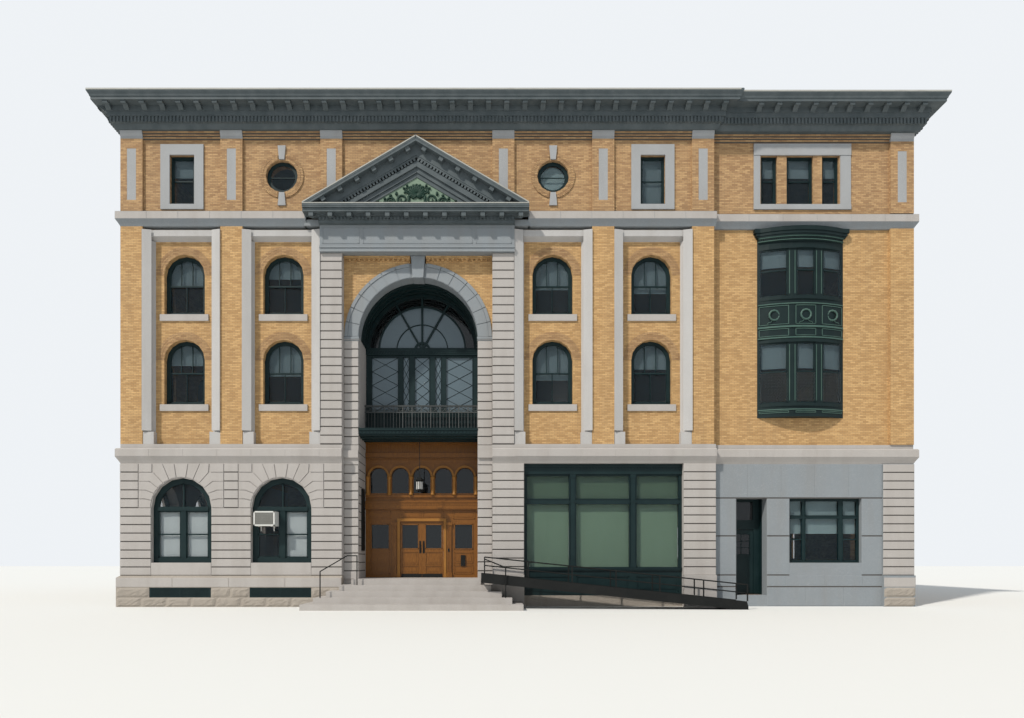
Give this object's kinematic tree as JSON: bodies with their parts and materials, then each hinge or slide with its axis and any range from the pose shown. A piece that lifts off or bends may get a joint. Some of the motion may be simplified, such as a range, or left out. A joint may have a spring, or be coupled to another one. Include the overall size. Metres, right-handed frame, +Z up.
{
  "type": "opera house",
  "caption": "Four-storey brick and granite city opera house with a recessed arched centre bay, a porch, a balcony, a pediment, a bracketed cornice and doors that open.",
  "frame": {"origin": "on the entrance axis, in the plane of the front pilasters, at the lowest ground line", "axes": "+X to the right along the front, +Y into the building, +Z up"},
  "size_m": [34.32, 23.64, 20.57],
  "materials": {
    "rough_granite": "rock-faced granite, weathered",
    "granite": "dressed light grey granite",
    "brick": "golden buff face brick",
    "cornice_metal": "weathered grey-green paint on sheet metal",
    "green_paint": "dark green gloss paint",
    "black_iron": "black paint",
    "oak": "varnished golden oak",
    "glass": "clear window glass",
    "roofing": "flat roof membrane",
    "floor_timber": "floor boards",
    "white_enamel": "white enamel"
  },
  "bodies": {
    "building": {"air_conditioner": "white_enamel", "arch_piers": "granite", "arch_spandrel": "brick", "arch_vault": "green_paint", "arch_voussoirs": "granite", "attic_brickwork": "brick", "attic_stonework": "granite", "attic_walls": "brick", "back_coping": "cornice_metal", "back_wall": "brick", "balcony": "green_paint", "balcony_railing": "black_iron", "brick_pilasters": "brick", "brick_walls": "brick", "centre_pilasters": "granite", "cornice_modillions": "cornice_metal", "entablature": "granite", "floors": "floor_timber", "ground_walls": "granite", "handrails": "black_iron", "landing": "granite", "lantern": "black_iron", "loggia_screen": "green_paint", "lower_belt": "granite", "main_cornice": "cornice_metal", "oriel": "green_paint", "panel_frames": "granite", "pediment_base": "cornice_metal", "pediment_modillions": "cornice_metal", "plinth_walls": "rough_granite", "raking_cornice": "cornice_metal", "ramp": "black_iron", "ramp_railings": "black_iron", "right_wall": "brick", "roof": "roofing", "screen_arcade": "oak", "screen_glass": "glass", "screen_sides": "oak", "shop_front": "green_paint", "shop_piers": "granite", "side_bay_stonework": "granite", "side_door_frame": "green_paint", "steps": "granite", "string_course": "granite", "tympanum": "green_paint", "vent_panels": "green_paint", "window_frames": "green_paint", "window_glass": "glass", "window_sills": "granite"},
    "main_door_left": {"main_door_left": "oak", "main_door_left_glass": "glass"},
    "main_door_right": {"main_door_right": "oak", "main_door_right_glass": "glass"},
    "side_door": {"side_door": "green_paint", "side_door_glass": "glass"}
  },
  "joints": [
    {"name": "main_door_left_hinge", "type": "hinge", "parent": "building", "child": "main_door_left", "pos_m": [-0.9325, 1.9917, 1.15], "axis": [0, 0, -1], "range_deg": [0, 90]},
    {"name": "main_door_right_hinge", "type": "hinge", "parent": "building", "child": "main_door_right", "pos_m": [0.9325, 1.9917, 1.15], "axis": [0, 0, 1], "range_deg": [0, 90]},
    {"name": "side_door_hinge", "type": "hinge", "parent": "building", "child": "side_door", "pos_m": [14.1525, 1.2083, 0.47], "axis": [0, 0, -1], "range_deg": [0, 90]}
  ]
}
